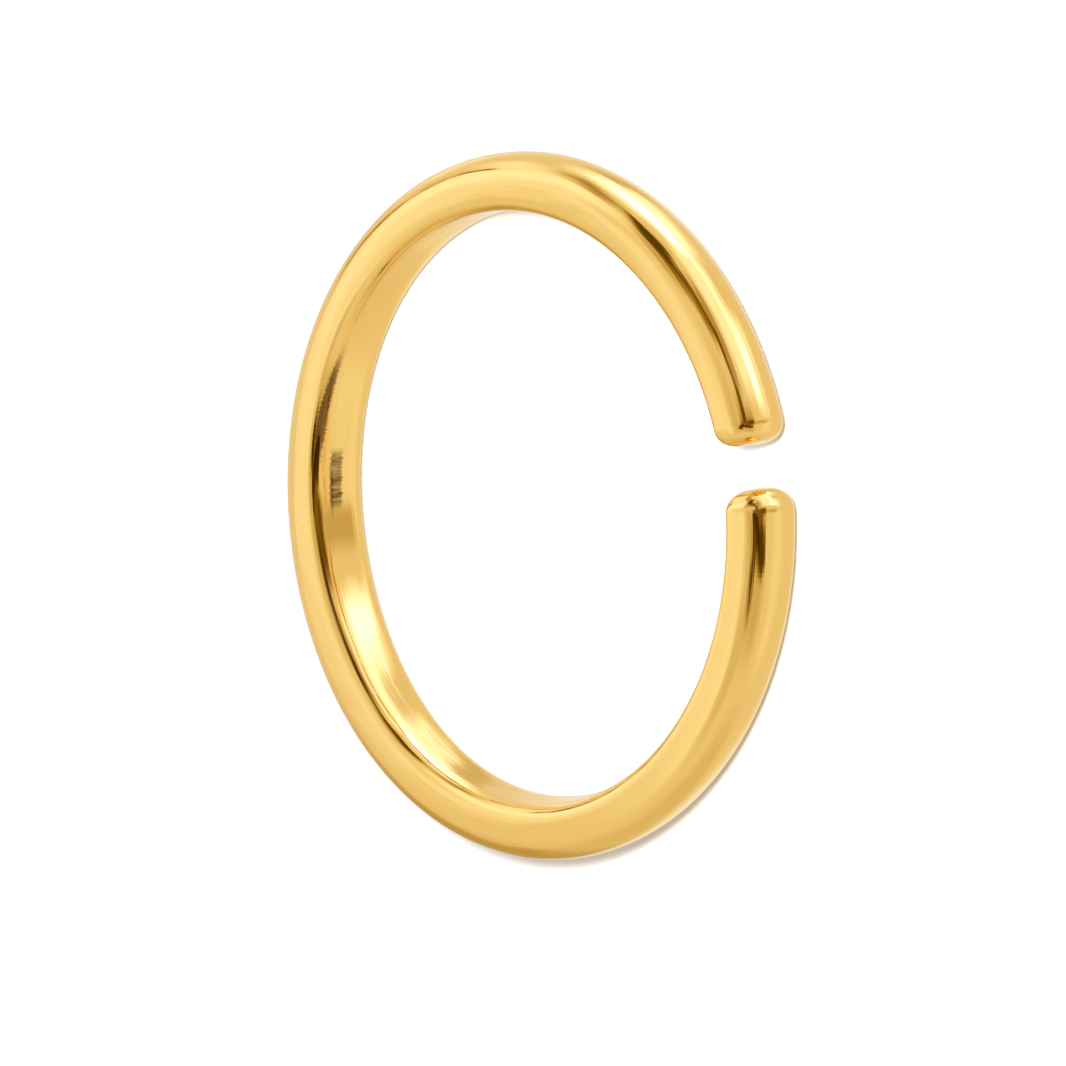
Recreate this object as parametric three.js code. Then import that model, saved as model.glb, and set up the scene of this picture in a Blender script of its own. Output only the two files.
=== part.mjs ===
// Open toe ring: one polished, gold-coloured band, bent round until its two rounded ends almost meet.
// Millimetres. The ring lies on its side as it would on a table: +Z runs along the bore,
// the underside is at z = 0, the gap between the ends faces -Y, and the origin is at the
// middle of the outline. Bearings are in degrees, counted from +X towards +Y.

import * as THREE from "three";

// Driving dimensions
const BAND_WIDTH = 1.7; // along the bore
const OUTER_SHARE = 0.56; // part of the thickness that lies outside the centre line
const OUTER_CROWN = 2.3; // outer half of the section: 2 is an ellipse, higher is squarer
const INNER_EDGE = 4.0; // inner half of the section, flatter, with small round edges
const REST_FLAT = 0.02; // ground off the underside, so that it has a narrow flat to lie on

const UPPER_END_BEARING = -90 + 3.6; // tip of the end that shows as the upper one
const LOWER_END_BEARING = 270 - 4.1; // tip of the end that shows as the lower one
const UPPER_END_ROUND = 0.5; // radius from the sides of the band to its end face
const LOWER_END_ROUND = 0.58;
const END_DOME = 0.02; // how far an end face stands proud at its middle

// The band was shaped by hand, so its centre line and thickness change a little on the way round,
// and it is slightly twisted: the twist, in degrees, lifts its outer side where it is positive.
// One row for each station, evenly spaced round the full circle, the first at bearing 0.
const STATIONS = [
  { radius: 8.25, thickness: 1.5, twist: 2 },
  { radius: 8.3, thickness: 1.4, twist: -9 },
  { radius: 8.25, thickness: 2.1, twist: -14 },
  { radius: 8.35, thickness: 1.6, twist: 0 },
  { radius: 8.15, thickness: 1.55, twist: -12 },
  { radius: 8.25, thickness: 1.4, twist: -9 },
  { radius: 8.35, thickness: 1.45, twist: -3 },
  { radius: 8.25, thickness: 1.5, twist: 9 },
];

// Fineness of the faceted surface
const POINTS_ROUND_SECTION = 24;
const STEPS_ALONG_BAND = 84;
const STEPS_IN_END_ROUND = 4;
const RINGS_ON_END_FACE = 2;

const MEAN_RADIUS = STATIONS.reduce((sum, row) => sum + row.radius, 0) / STATIONS.length;

// A smooth value between the stations: a cubic B-spline that closes on itself.
function between(column, bearing) {
  const count = STATIONS.length;
  const place = THREE.MathUtils.euclideanModulo(bearing / (360 / count), count);
  const first = Math.floor(place);
  const t = place - first;
  const weights = [
    (1 - t) ** 3 / 6,
    (3 * t ** 3 - 6 * t ** 2 + 4) / 6,
    (-3 * t ** 3 + 3 * t ** 2 + 3 * t + 1) / 6,
    t ** 3 / 6,
  ];
  return weights.reduce((sum, weight, i) => {
    const row = STATIONS[(first + i - 1 + count) % count];
    return sum + weight * row[column];
  }, 0);
}

// A cosine or sine raised to the section's squareness, with its sign kept.
function squared(value, squareness) {
  return Math.sign(value) * Math.abs(value) ** (2 / squareness);
}

// One closed section across the band. The inset draws all its sides in, where an end is rounded,
// and the share shrinks it towards its centre, where an end face closes. Whatever the twist turns
// below the level of the rest flat is ground away.
function section(bearing, inset, share) {
  const thickness = between("thickness", bearing);
  const outer = (thickness * OUTER_SHARE - inset) * share;
  const inner = (thickness * (1 - OUTER_SHARE) - inset) * share;
  const half = (BAND_WIDTH / 2 - inset) * share;
  const lowest = REST_FLAT - BAND_WIDTH / 2;
  const centre = between("radius", bearing);
  const twist = THREE.MathUtils.degToRad(between("twist", bearing));
  const angle = THREE.MathUtils.degToRad(bearing);
  const points = [];
  for (let i = 0; i < POINTS_ROUND_SECTION; i += 1) {
    const turn = ((i + 0.5) / POINTS_ROUND_SECTION) * 2 * Math.PI;
    const outward = Math.cos(turn) >= 0;
    const squareness = outward ? OUTER_CROWN : INNER_EDGE;
    const across = (outward ? outer : inner) * squared(Math.cos(turn), squareness);
    const along = half * squared(Math.sin(turn), squareness);
    const radius = centre + across * Math.cos(twist) - along * Math.sin(twist);
    const height = Math.max(across * Math.sin(twist) + along * Math.cos(twist), lowest);
    points.push(
      new THREE.Vector3(radius * Math.cos(angle), radius * Math.sin(angle), height - lowest),
    );
  }
  return points;
}

// The sections of one end, from the middle of its face back to where the band is full.
// The direction is +1 where bearings rise away from the tip and -1 where they fall.
function endSections(tip, round, direction) {
  const degreesPerMillimetre = THREE.MathUtils.radToDeg(1 / MEAN_RADIUS) * direction;
  const rows = [];
  for (let i = 1; i <= RINGS_ON_END_FACE; i += 1) {
    const share = i / (RINGS_ON_END_FACE + 1);
    const proud = END_DOME * (1 - share ** 2) ** 2;
    rows.push(section(tip - proud * degreesPerMillimetre, round, share));
  }
  for (let i = 0; i < STEPS_IN_END_ROUND; i += 1) {
    const turn = (i / STEPS_IN_END_ROUND) * (Math.PI / 2);
    const back = round * (1 - Math.cos(turn));
    const inset = round * (1 - Math.sin(turn));
    rows.push(section(tip + back * degreesPerMillimetre, inset, 1));
  }
  return rows;
}

// The middle of an end face.
function endCentre(tip, direction) {
  const angle = THREE.MathUtils.degToRad(tip) - (END_DOME / MEAN_RADIUS) * direction;
  const radius = between("radius", tip);
  const height = BAND_WIDTH / 2 - REST_FLAT;
  return new THREE.Vector3(radius * Math.cos(angle), radius * Math.sin(angle), height);
}

// A closed skin through the sections, with a fan of triangles at each end.
function skin(rows, firstCentre, lastCentre) {
  const across = rows[0].length;
  const points = [firstCentre, ...rows.flat(), lastCentre];
  const last = points.length - 1;
  const corner = (row, i) => 1 + row * across + (i % across);
  const faces = [];
  for (let i = 0; i < across; i += 1) {
    faces.push(0, corner(0, i), corner(0, i + 1));
    faces.push(last, corner(rows.length - 1, i + 1), corner(rows.length - 1, i));
  }
  for (let row = 0; row < rows.length - 1; row += 1) {
    for (let i = 0; i < across; i += 1) {
      faces.push(corner(row, i), corner(row + 1, i), corner(row + 1, i + 1));
      faces.push(corner(row, i), corner(row + 1, i + 1), corner(row, i + 1));
    }
  }
  const geometry = new THREE.BufferGeometry().setFromPoints(points);
  geometry.setIndex(faces);
  return geometry;
}

function ringBand() {
  const arcRound = (round) => THREE.MathUtils.radToDeg(round / MEAN_RADIUS);
  const from = UPPER_END_BEARING + arcRound(UPPER_END_ROUND);
  const to = LOWER_END_BEARING - arcRound(LOWER_END_ROUND);
  const rows = endSections(UPPER_END_BEARING, UPPER_END_ROUND, 1);
  for (let i = 0; i <= STEPS_ALONG_BAND; i += 1) {
    rows.push(section(THREE.MathUtils.lerp(from, to, i / STEPS_ALONG_BAND), 0, 1));
  }
  rows.push(...endSections(LOWER_END_BEARING, LOWER_END_ROUND, -1).reverse());
  const geometry = skin(rows, endCentre(UPPER_END_BEARING, 1), endCentre(LOWER_END_BEARING, -1));

  geometry.computeBoundingBox();
  const middle = geometry.boundingBox.getCenter(new THREE.Vector3());
  geometry.translate(-middle.x, -middle.y, 0);
  geometry.computeVertexNormals();
  return geometry;
}

const polishedGold = new THREE.MeshStandardMaterial({
  color: 0xe9bd5e,
  roughness: 0.18,
  metalness: 1,
});

const band = new THREE.Mesh(ringBand(), polishedGold);
band.name = "ring_band";

const toeRing = new THREE.Group();
toeRing.add(band);

export default toeRing;
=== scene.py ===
import math

import bpy
from mathutils import Matrix, Vector


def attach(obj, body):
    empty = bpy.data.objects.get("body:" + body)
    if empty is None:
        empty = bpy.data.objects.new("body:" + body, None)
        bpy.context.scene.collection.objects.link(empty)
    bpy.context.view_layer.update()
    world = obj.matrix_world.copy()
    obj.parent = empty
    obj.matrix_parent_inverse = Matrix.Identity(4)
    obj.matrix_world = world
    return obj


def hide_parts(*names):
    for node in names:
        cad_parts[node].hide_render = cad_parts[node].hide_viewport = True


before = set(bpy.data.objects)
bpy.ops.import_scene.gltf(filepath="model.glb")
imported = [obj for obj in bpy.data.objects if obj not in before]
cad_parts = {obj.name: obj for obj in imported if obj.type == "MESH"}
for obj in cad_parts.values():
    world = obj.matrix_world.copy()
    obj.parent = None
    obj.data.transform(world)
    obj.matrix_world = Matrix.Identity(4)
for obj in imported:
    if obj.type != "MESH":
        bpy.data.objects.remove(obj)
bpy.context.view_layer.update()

# The ring band: one piece of silver with a thick plate of deep yellow gold, drawn as a strip with a
# domed outside and a flatter inside, bent round by hand over a mandrel and polished along its
# length, with both ends rounded over and left almost touching.
MM = 0.001
BAND_WIDTH = 1.7  # mm, along the bore
OUTER_SHARE = 0.56  # part of the thickness that lies outside the centre line
OUTER_CROWN = 2.3  # outer half of the section: 2 is an ellipse, higher is squarer
INNER_EDGE = 4.0  # inner half of the section, flatter, with small round edges
REST_FLAT = 0.02  # mm ground off the underside
UPPER_TIP = -90 + 3.6  # bearing of each end's tip, degrees from +X towards +Y
LOWER_TIP = 270 - 4.1
UPPER_ROUND = 0.5  # mm, from the sides of the band to its end face
LOWER_ROUND = 0.58
END_DOME = 0.02  # mm, how far an end face stands proud at its middle
STATIONS = (  # every 45 degrees from bearing 0: mm, and the twist in degrees
    {"radius": 8.25, "thickness": 1.5, "twist": 2},
    {"radius": 8.3, "thickness": 1.4, "twist": -9},
    {"radius": 8.25, "thickness": 2.1, "twist": -14},
    {"radius": 8.35, "thickness": 1.6, "twist": 0},
    {"radius": 8.15, "thickness": 1.55, "twist": -12},
    {"radius": 8.25, "thickness": 1.4, "twist": -9},
    {"radius": 8.35, "thickness": 1.45, "twist": -3},
    {"radius": 8.25, "thickness": 1.5, "twist": 9},
)
MEAN_RADIUS = sum(row["radius"] for row in STATIONS) / len(STATIONS)
POINTS_ROUND_SECTION = 112
STEPS_ALONG_BAND = 720
STEPS_IN_END_ROUND = 24
RINGS_ON_END_FACE = 12


def between(column, bearing):
    """A smooth value between the stations: a cubic B-spline that closes on itself."""
    place = bearing / (360 / len(STATIONS)) % len(STATIONS)
    first = int(place)
    t = place - first
    weights = (
        (1 - t) ** 3 / 6,
        (3 * t**3 - 6 * t**2 + 4) / 6,
        (-3 * t**3 + 3 * t**2 + 3 * t + 1) / 6,
        t**3 / 6,
    )
    rows = [STATIONS[(first + i - 1) % len(STATIONS)] for i in range(4)]
    return sum(weight * row[column] for weight, row in zip(weights, rows))


def squared(value, squareness):
    """A cosine or sine raised to the section's squareness, with its sign kept."""
    return math.copysign(abs(value) ** (2 / squareness), value)


def section(bearing, inset, share):
    """One closed section across the band, in millimetres, from its underside round."""
    thickness = between("thickness", bearing)
    outer = (thickness * OUTER_SHARE - inset) * share
    inner = (thickness * (1 - OUTER_SHARE) - inset) * share
    half = (BAND_WIDTH / 2 - inset) * share
    lowest = REST_FLAT - BAND_WIDTH / 2
    centre = between("radius", bearing)
    twist = math.radians(between("twist", bearing))
    angle = math.radians(bearing)
    points = []
    for i in range(POINTS_ROUND_SECTION):
        turn = (i + 0.5) / POINTS_ROUND_SECTION * 2 * math.pi - math.pi / 2
        outward = math.cos(turn) >= 0
        squareness = OUTER_CROWN if outward else INNER_EDGE
        across = (outer if outward else inner) * squared(math.cos(turn), squareness)
        along = half * squared(math.sin(turn), squareness)
        radius = centre + across * math.cos(twist) - along * math.sin(twist)
        height = max(across * math.sin(twist) + along * math.cos(twist), lowest) - lowest
        points.append(Vector((radius * math.cos(angle), radius * math.sin(angle), height)))
    return points


def end_sections(tip, round_over, direction):
    """The sections of one end, from the middle of its face back to where the band is full."""
    degrees_per_mm = math.degrees(1 / MEAN_RADIUS) * direction
    rows = []
    for i in range(1, RINGS_ON_END_FACE + 1):
        share = i / (RINGS_ON_END_FACE + 1)
        proud = END_DOME * (1 - share**2) ** 2
        rows.append(section(tip - proud * degrees_per_mm, round_over, share))
    for i in range(STEPS_IN_END_ROUND):
        turn = i / STEPS_IN_END_ROUND * math.pi / 2
        back = round_over * (1 - math.cos(turn))
        rows.append(section(tip + back * degrees_per_mm, round_over * (1 - math.sin(turn)), 1))
    return rows


def end_centre(tip, direction):
    """The middle of an end face."""
    angle = math.radians(tip) - END_DOME / MEAN_RADIUS * direction
    radius = between("radius", tip)
    height = BAND_WIDTH / 2 - REST_FLAT
    return Vector((radius * math.cos(angle), radius * math.sin(angle), height))


band_from = UPPER_TIP + math.degrees(UPPER_ROUND / MEAN_RADIUS)
band_to = LOWER_TIP - math.degrees(LOWER_ROUND / MEAN_RADIUS)
rows = end_sections(UPPER_TIP, UPPER_ROUND, 1)
for step in range(STEPS_ALONG_BAND + 1):
    rows.append(section(band_from + (band_to - band_from) * step / STEPS_ALONG_BAND, 0, 1))
rows += reversed(end_sections(LOWER_TIP, LOWER_ROUND, -1))
points = [point for row in rows for point in row]
points += [end_centre(UPPER_TIP, 1), end_centre(LOWER_TIP, -1)]

round_it = POINTS_ROUND_SECTION
faces = []
for row in range(len(rows) - 1):
    for i in range(round_it):
        low, high = row * round_it + i, row * round_it + (i + 1) % round_it
        faces.append((low, low + round_it, high + round_it, high))
last_row = (len(rows) - 1) * round_it
for i in range(round_it):
    following = (i + 1) % round_it
    faces.append((len(points) - 2, i, following))
    faces.append((len(points) - 1, last_row + following, last_row + i))

fine_middle = [
    (min(point[axis] for point in points) + max(point[axis] for point in points)) / 2
    for axis in (0, 1)
]
to_frame = Vector((-fine_middle[0], -fine_middle[1], 0))
mesh = bpy.data.meshes.new("polished_band")
mesh.from_pydata([(point + to_frame) * MM for point in points], [], faces)
mesh.polygons.foreach_set("use_smooth", [True] * len(mesh.polygons))
band = bpy.data.objects.new("polished_band", mesh)
bpy.context.scene.collection.objects.link(band)


class Wire:
    """A wire in a shader graph: arithmetic on it adds Math nodes, and node() adds any other."""

    def __init__(self, tree, socket=None):
        self.tree = tree
        self.socket = socket

    def node(self, kind, settings=None, inputs=None, out=0):
        made = self.tree.nodes.new(kind)
        for name, value in (settings or {}).items():
            setattr(made, name, value)
        for name, value in (inputs or {}).items():
            if isinstance(value, Wire):
                self.tree.links.new(value.socket, made.inputs[name])
            else:
                made.inputs[name].default_value = value
        return Wire(self.tree, made.outputs[out] if made.outputs else None)

    def other(self, out):
        """The wire from another output of the node that this one leaves."""
        return Wire(self.tree, self.socket.node.outputs[out])

    def calc(self, operation, *values):
        return self.node("ShaderNodeMath", {"operation": operation}, dict(enumerate(values)))

    def __add__(self, other):
        return self.calc("ADD", self, other)

    def __radd__(self, other):
        return self.calc("ADD", other, self)

    def __sub__(self, other):
        return self.calc("SUBTRACT", self, other)

    def __rsub__(self, other):
        return self.calc("SUBTRACT", other, self)

    def __mul__(self, other):
        return self.calc("MULTIPLY", self, other)

    def __rmul__(self, other):
        return self.calc("MULTIPLY", other, self)

    def __truediv__(self, other):
        return self.calc("DIVIDE", self, other)

    def __pow__(self, other):
        return self.calc("POWER", self, other)


def soft_edge(distance, half_size, softness):
    """1 inside half_size from the middle, falling smoothly to 0 over softness."""
    span = (half_size + softness - distance.calc("ABSOLUTE", distance)) / (2 * softness)
    return span.node(
        "ShaderNodeMapRange", {"interpolation_type": "SMOOTHSTEP", "clamp": True}, {"Value": span}
    )


GOLD = (1.0, 0.69, 0.235, 1)
SHADE_AND_MARK_BROWN = (0.16, 0.075, 0.012, 1)  # dark brown for the painted shade along the inner corner and for the marks on the inside wall
PLAIN_ROUGHNESS = 0.055
STREAK_WIDEST = 3.1  # mm along the band, where the painted shade streak in the inner corner is broadest
STREAK_CLIMB = 9.27  # mm up from the bore's axis, where its middle runs there
STREAK_LEAN = 0.07  # mm that its middle drops for each mm along
STREAK_TAPER = 0.05  # mm that its half width loses for each mm along
# where the second streak of painted shade runs, mm up from the bore's axis
LOW_STREAK_CLIMB = 9.32
PATCH_CLIMB = 8.58  # the middle of the rough patch, and its dark edge
PATCH_EDGE_CLIMB = 8.73
HAIR_LINE_CLIMB = 9.10
PIN_HOLES_PER_MM = 1.7
PIN_HOLE_CHOICE = 0.82  # share of the places that stay without a hole
WAVE_HEIGHT = 0.030  # mm from crest to hollow
WHEEL_LINE_HEIGHT = 0.0050
FILE_MARK_HEIGHT = 0.0006
HAIR_LINE_DEPTH = 0.004
PIN_HOLE_DEPTH = 0.006
gold = bpy.data.materials.new("polished_gold")
gold.use_nodes = True
gold.node_tree.nodes.clear()
graph = Wire(gold.node_tree)

# where a point is on the band, in millimetres: how far along it from the middle of its back
# towards the upper end, and how far up from the bore, over the top edge, to the outside
place = graph.node("ShaderNodeTexCoord", out="Object")
place = graph.node("ShaderNodeVectorMath", {"operation": "SCALE"}, {0: place, "Scale": 1 / MM})
place = graph.node(
    "ShaderNodeVectorMath", {"operation": "SUBTRACT"}, {0: place, 1: tuple(to_frame)}
)
x = graph.node("ShaderNodeSeparateXYZ", inputs={0: place})
y, z = x.other("Y"), x.other("Z")
along = x.calc("ARCTAN2", x, y) * MEAN_RADIUS
radius = (x * x + y * y) ** 0.5
climb = radius + z


def grain(along_scale, across_scale, detail=2.0):
    """Noise in marks that are long where a scale is low, from -0.5 to 0.5."""
    spread = graph.node(
        "ShaderNodeCombineXYZ",
        inputs={0: along * along_scale, 1: radius * across_scale, 2: z * across_scale},
    )
    return graph.node("ShaderNodeTexNoise", inputs={"Vector": spread, "Detail": detail}) - 0.5


# hand polishing: slow waves, the fine lines of the wheel along the band, and file marks across
# the inside that the wheel didn't reach
waves = grain(0.09, 0.30, 1.0)
wheel_lines = grain(0.05, 2.6, 3.0)
file_marks = grain(3.6, 0.16, 2.0)

# painted shade: a brown streak in the inner corner at the back that stands in for the dark
# reflection there, with its edges feathered by the file marks
feathered = climb + file_marks * 0.16
from_widest = along - STREAK_WIDEST
painted_shade_streak = soft_edge(
    feathered - STREAK_CLIMB + STREAK_LEAN * from_widest,
    0.21 - STREAK_TAPER * from_widest.calc("ABSOLUTE", from_widest),
    0.06,
) * soft_edge(along - 3.9, 1.5, 0.7)
# painted shade: a second thin dark streak along the inner corner, below the first
low_painted_shade_streak = soft_edge(climb - LOW_STREAK_CLIMB, 0.06, 0.05) * soft_edge(along + 2.3, 2.3, 0.8)
# a patch below it on the inside wall that is still rough from the file, darkest at its edge
file_cuts = grain(2.1, 0.3, 2.0)
ragged = climb + file_cuts * 0.20
patch = soft_edge(ragged - PATCH_CLIMB, 0.21, 0.06) * soft_edge(along - 1.80, 0.78, 0.20)
patch = patch * (0.92 + file_cuts * 1.4)
patch_edge = soft_edge(climb - PATCH_EDGE_CLIMB, 0.03, 0.06) * soft_edge(along - 1.35, 0.65, 0.15)
# the hair line where the wheel broke the inner corner
hair_line = soft_edge(climb - HAIR_LINE_CLIMB, 0.010, 0.015) * soft_edge(along - 10.0, 3.6, 1.2)
# a few pin holes in the metal
spread = graph.node("ShaderNodeCombineXYZ", inputs={0: along, 1: radius, 2: z})
cells = graph.node(
    "ShaderNodeTexVoronoi",
    inputs={"Vector": spread, "Scale": PIN_HOLES_PER_MM, "Randomness": 1.0},
)
chosen = graph.node("ShaderNodeSeparateColor", inputs={0: cells.other("Color")})
pin_hole = soft_edge(cells, 0.035, 0.02) * chosen.calc("GREATER_THAN", chosen, PIN_HOLE_CHOICE)

# the brown: painted shade in the two streaks, with the marks of the patch, the hair line and the
# pin holes
brown = 0.88 * painted_shade_streak + 0.86 * low_painted_shade_streak + 0.84 * patch + 0.3 * patch_edge
brown = brown + 0.6 * hair_line + 0.35 * pin_hole
brown = brown.node("ShaderNodeClamp", inputs={"Value": brown})
MIX_SHARE, MIX_FROM, MIX_TO, MIXED_COLOUR = 0, 6, 7, 2  # the colour sockets of a Mix node
metal = graph.node(
    "ShaderNodeMix",
    {"data_type": "RGBA"},
    {MIX_SHARE: brown, MIX_FROM: GOLD, MIX_TO: SHADE_AND_MARK_BROWN},
    out=MIXED_COLOUR,
)
relief = waves * WAVE_HEIGHT + wheel_lines * WHEEL_LINE_HEIGHT + file_marks * FILE_MARK_HEIGHT
relief = relief - HAIR_LINE_DEPTH * hair_line - PIN_HOLE_DEPTH * pin_hole
bump = graph.node("ShaderNodeBump", inputs={"Height": relief, "Distance": MM, "Strength": 1.0})
roughness = PLAIN_ROUGHNESS + 0.05 * wheel_lines + 0.15 * patch
shader = graph.node(
    "ShaderNodeBsdfPrincipled",
    inputs={"Base Color": metal, "Metallic": 1.0, "Roughness": roughness, "Normal": bump},
)
graph.node("ShaderNodeOutputMaterial", inputs={"Surface": shader})
mesh.materials.append(gold)
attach(band, "root")
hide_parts("ring_band")

# The floor: a plain pale tabletop, one flat sheet.
FLOOR_SIZE = 4.0
floor_mesh = bpy.data.meshes.new("floor")
half = FLOOR_SIZE / 2
floor_mesh.from_pydata(
    [(-half, -half, 0), (half, -half, 0), (half, half, 0), (-half, half, 0)], [], [(0, 1, 2, 3)]
)
floor = bpy.data.objects.new("floor", floor_mesh)
bpy.context.scene.collection.objects.link(floor)
paper = bpy.data.materials.new("white_paper")
paper.use_nodes = True
paper.node_tree.nodes.clear()
graph = Wire(paper.node_tree)
shader = graph.node(
    "ShaderNodeBsdfPrincipled",
    inputs={"Base Color": (0.9, 0.9, 0.9, 1), "Roughness": 0.9},
)
graph.node("ShaderNodeOutputMaterial", inputs={"Surface": shader})
floor_mesh.materials.append(paper)
floor.visible_glossy = False  # the metal mirrors the whole tent, as if held up in it

# The studio: a white tent that lights the floor evenly, with a soft lamp in front of the gap. What
# the metal mirrors is the inside of the tent: its wall, the lit and dark panels on it, and the
# opening that the camera looks in by. Each is given by where it stands as seen from the ring.
TENT_LIGHT = 0.76  # what the wall gives the floor
TENT_WALL = 0.84  # what the metal mirrors of it
PANELS = (  # bearing from -Y towards +X and height, half sizes, soft edge and turn, in degrees
    # the broad shading of the tent
    {"at": (-125, -5), "half": (50, 26), "soft": 14, "turn": 0, "glow": 0.74, "cover": 1},
    {"at": (-155, -15), "half": (16, 22), "soft": 8, "turn": 0, "glow": 0.52, "cover": 1},
    {"at": (-160, 60), "half": (20, 12), "soft": 12, "turn": 0, "glow": 1.0, "cover": 1},
    {"at": (-85, 62), "half": (18, 12), "soft": 8, "turn": 0, "glow": 0.73, "cover": 1},
    {"at": (172, 33), "half": (9, 18), "soft": 5, "turn": 0, "glow": 0.99, "cover": 1},
    {"at": (-170, -55), "half": (30, 14), "soft": 14, "turn": 0, "glow": 0.97, "cover": 1},
    {"at": (-30, -30), "half": (26, 12), "soft": 12, "turn": 0, "glow": 0.94, "cover": 1},
    {"at": (0, 88), "half": (12, 12), "soft": 14, "turn": 0, "glow": 0.62, "cover": 1},
    # the opening and the camera in it
    {"at": (-42, 38), "half": (14, 26), "soft": 10, "turn": 0, "glow": 0.66, "cover": 1},
    {"at": (-1, 46), "half": (15, 24), "soft": 6, "turn": 0, "glow": 0.21, "cover": 1},
    {"at": (-48, 66), "half": (7.5, 9), "soft": 4, "turn": 0, "glow": 0.09, "cover": 1},
    {"at": (-24, 48), "half": (5.5, 25), "soft": 3, "turn": 8, "glow": 0.06, "cover": 1},
    {"at": (-23, 27), "half": (6.5, 11), "soft": 3, "turn": 0, "glow": 0.09, "cover": 1},
    {"at": (2, 22), "half": (13, 11), "soft": 7, "turn": 0, "glow": 0.14, "cover": 1},
    {"at": (-2, -12), "half": (6, 18), "soft": 4, "turn": 0, "glow": 0.60, "cover": 1},
    # the dark card over the large lamp
    {"at": (39, 47), "half": (16, 5), "soft": 5, "turn": 14, "glow": 0.09, "cover": 1},
    {"at": (108, 55), "half": (9, 7), "soft": 4, "turn": 0, "glow": 0.60, "cover": 1},
    {"at": (75, 54), "half": (12, 5), "soft": 5, "turn": 0, "glow": 0.33, "cover": 1},
    {"at": (66, 44), "half": (8, 6), "soft": 4, "turn": 0, "glow": 0.16, "cover": 1},
    {"at": (87, 38), "half": (9.5, 13), "soft": 4, "turn": 8, "glow": 0.11, "cover": 1},
    {"at": (45, 32), "half": (16, 6), "soft": 6, "turn": 12, "glow": 0.42, "cover": 0.9},
    {"at": (106, 22), "half": (5, 12), "soft": 6, "turn": -10, "glow": 0.40, "cover": 1},
    # the large lamp, with two hot spots and a dim one
    {"at": (62, -8), "half": (40, 22), "soft": 6, "turn": 4, "glow": 1.15, "cover": 1},
    {"at": (36, -37), "half": (18, 7), "soft": 6, "turn": 0, "glow": 1.06, "cover": 1},
    {"at": (54, -24), "half": (26, 8), "soft": 6, "turn": 0, "glow": 1.32, "cover": 1},
    {"at": (92, -20), "half": (18, 18), "soft": 9, "turn": 0, "glow": 1.35, "cover": 1},
    {"at": (84, -12), "half": (12, 8), "soft": 6, "turn": 0, "glow": 1.9, "cover": 1},
    {"at": (30, -24), "half": (9, 8), "soft": 7, "turn": 0, "glow": 1.6, "cover": 1},
    {"at": (62, -38), "half": (9, 10), "soft": 5, "turn": 0, "glow": 0.82, "cover": 1},
    {"at": (114, -38), "half": (7, 7), "soft": 5, "turn": 0, "glow": 0.68, "cover": 1},
    {"at": (78, 9), "half": (6, 4), "soft": 4, "turn": 0, "glow": 0.85, "cover": 1},
    # the light round the back
    {"at": (142, 36), "half": (22, 12), "soft": 8, "turn": 20, "glow": 1.14, "cover": 1},
    {"at": (128, 15), "half": (8, 14), "soft": 8, "turn": 10, "glow": 1.08, "cover": 1},
    {"at": (145, -16), "half": (5, 16), "soft": 8, "turn": 0, "glow": 1.02, "cover": 1},
    {"at": (150, 15), "half": (15, 1.8), "soft": 2, "turn": 38, "glow": 0.14, "cover": 1},
)
world = bpy.data.worlds.new("studio")
bpy.context.scene.world = world
world.use_nodes = True
world.node_tree.nodes.clear()
graph = Wire(world.node_tree)

sight = graph.node("ShaderNodeTexCoord")
glow = TENT_WALL
for panel in PANELS:
    bearing, height = (math.radians(value) for value in panel["at"])
    turn = math.radians(panel["turn"])
    facing = Vector(
        (
            math.sin(bearing) * math.cos(height),
            -math.cos(bearing) * math.cos(height),
            math.sin(height),
        )
    )
    level = Vector((math.cos(bearing), math.sin(bearing), 0))
    upright = level.cross(facing)
    wide = level * math.cos(turn) + upright * math.sin(turn)
    tall = upright * math.cos(turn) - level * math.sin(turn)
    ahead, right, up = (
        graph.node(
            "ShaderNodeVectorMath", {"operation": "DOT_PRODUCT"}, {0: sight, 1: way}, out="Value"
        )
        for way in (facing, wide, tall)
    )
    across_panel = graph.calc("ARCTAN2", right, ahead) * math.degrees(1)
    up_panel = graph.calc("ARCTAN2", up, ahead) * math.degrees(1)
    shown = soft_edge(across_panel, panel["half"][0], panel["soft"])
    shown = shown * soft_edge(up_panel, panel["half"][1], panel["soft"])
    glow = glow + (panel["glow"] - glow) * (shown * panel["cover"])
# the darker a place in the tent, the warmer its light
warm = graph.node(
    "ShaderNodeCombineColor", inputs={0: glow, 1: glow * (0.51 + 0.49 * glow), 2: glow**2.6}
)
mirrored = graph.node("ShaderNodeBackground", inputs={"Color": warm})
wall = graph.node(
    "ShaderNodeBackground", inputs={"Color": (TENT_LIGHT, TENT_LIGHT, TENT_LIGHT, 1)}
)
ray = graph.node("ShaderNodeLightPath", out="Is Glossy Ray")
tent = graph.node("ShaderNodeMixShader", inputs={0: ray, 1: wall, 2: mirrored})
graph.node("ShaderNodeOutputWorld", inputs={"Surface": tent})

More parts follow.
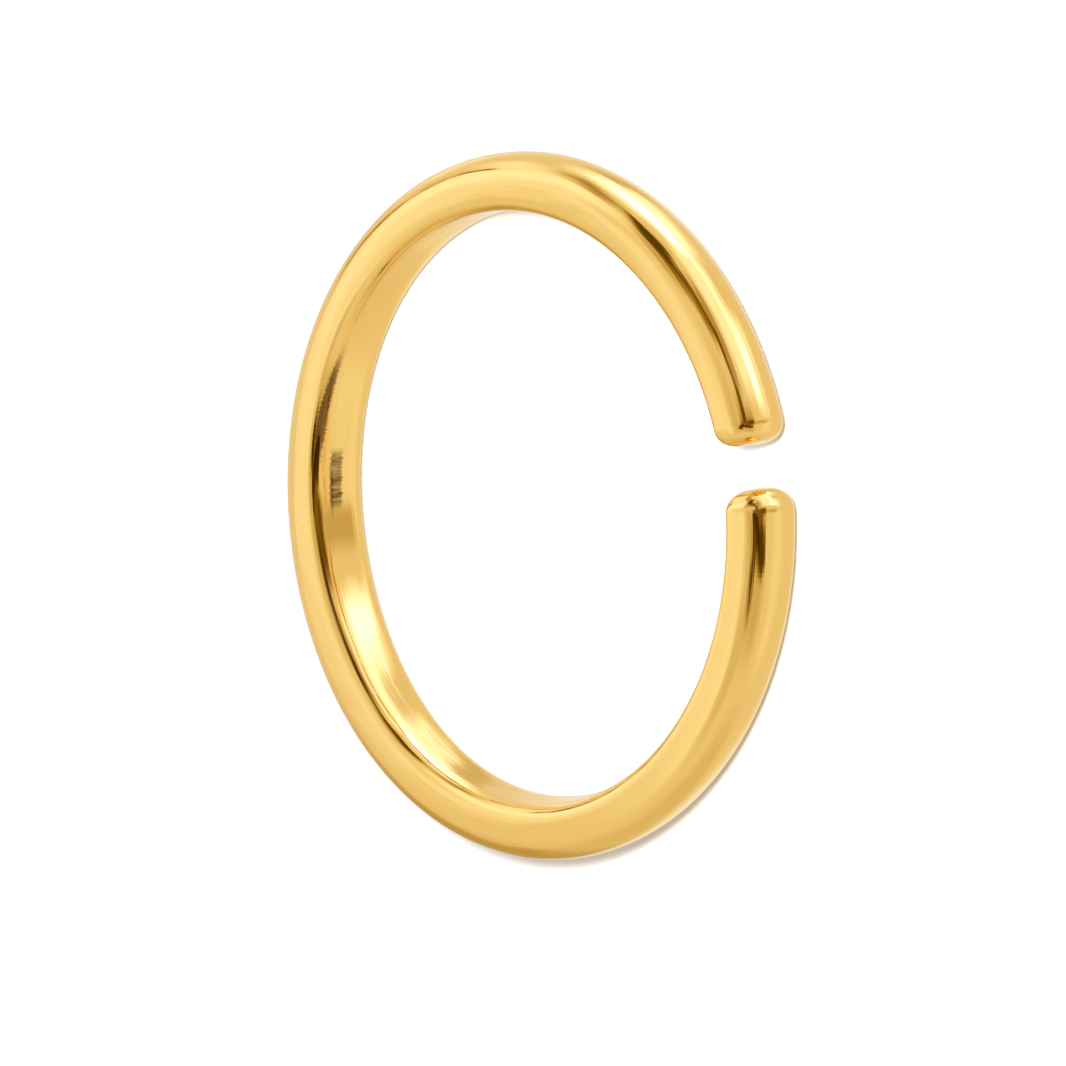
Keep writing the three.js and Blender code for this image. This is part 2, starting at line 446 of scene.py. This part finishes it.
LAMP_AT = Vector((12, -68, 84))  # mm, in front of the gap
LAMP_SIZE = 32  # mm across
LAMP_WATTS = 0.17
lamp_light = bpy.data.lights.new("soft_lamp", "AREA")
lamp_light.shape = "DISK"
lamp_light.size = LAMP_SIZE * MM
lamp_light.energy = LAMP_WATTS
lamp = bpy.data.objects.new("soft_lamp", lamp_light)
lamp.matrix_world = Matrix.Translation(LAMP_AT * MM) @ (
    LAMP_AT.to_track_quat("Z", "Y").to_matrix().to_4x4()
)
lamp.visible_camera = False
lamp.visible_glossy = False
bpy.context.scene.collection.objects.link(lamp)

# The camera: the ring is looked at from over its gap, with the picture turned so that the gap is
# at the right. Distances are in millimetres.
CAMERA_DISTANCE = 350
CAMERA_BEARING = -3.05  # degrees, from -Y towards +X
CAMERA_HEIGHT = 42.1  # degrees above the floor
CAMERA_ROLL = 95.9
FRAME_PIXELS = 1066
PIXELS_PER_MM = 39.08  # at the ring
RING_IN_PICTURE = (537.7, 505.85)  # pixels, where the ring's centre shows
bearing, height = math.radians(CAMERA_BEARING), math.radians(CAMERA_HEIGHT)
back = Vector(
    (math.sin(bearing) * math.cos(height), -math.cos(bearing) * math.cos(height), math.sin(height))
)
level = Vector((math.cos(bearing), math.sin(bearing), 0))
upright = back.cross(level)
roll = math.radians(CAMERA_ROLL)
picture_right = level * math.cos(roll) - upright * math.sin(roll)
picture_up = level * math.sin(roll) + upright * math.cos(roll)
ring_centre = to_frame + Vector((0, 0, BAND_WIDTH / 2 - REST_FLAT))
aside = (
    picture_right * (FRAME_PIXELS / 2 - RING_IN_PICTURE[0])
    + picture_up * (RING_IN_PICTURE[1] - FRAME_PIXELS / 2)
) / PIXELS_PER_MM
lens = bpy.data.cameras.new("camera")
lens.sensor_width = 36
lens.lens = lens.sensor_width * PIXELS_PER_MM * CAMERA_DISTANCE / FRAME_PIXELS
lens.clip_start = 0.01
lens.clip_end = 20
camera = bpy.data.objects.new("camera", lens)
bpy.context.scene.collection.objects.link(camera)
stand = (ring_centre + back * CAMERA_DISTANCE + aside) * MM
turned = Matrix((picture_right, picture_up, back)).transposed().to_4x4()
camera.matrix_world = Matrix.Translation(stand) @ turned
bpy.context.scene.camera = camera
bpy.context.scene.view_settings.view_transform = "Standard"
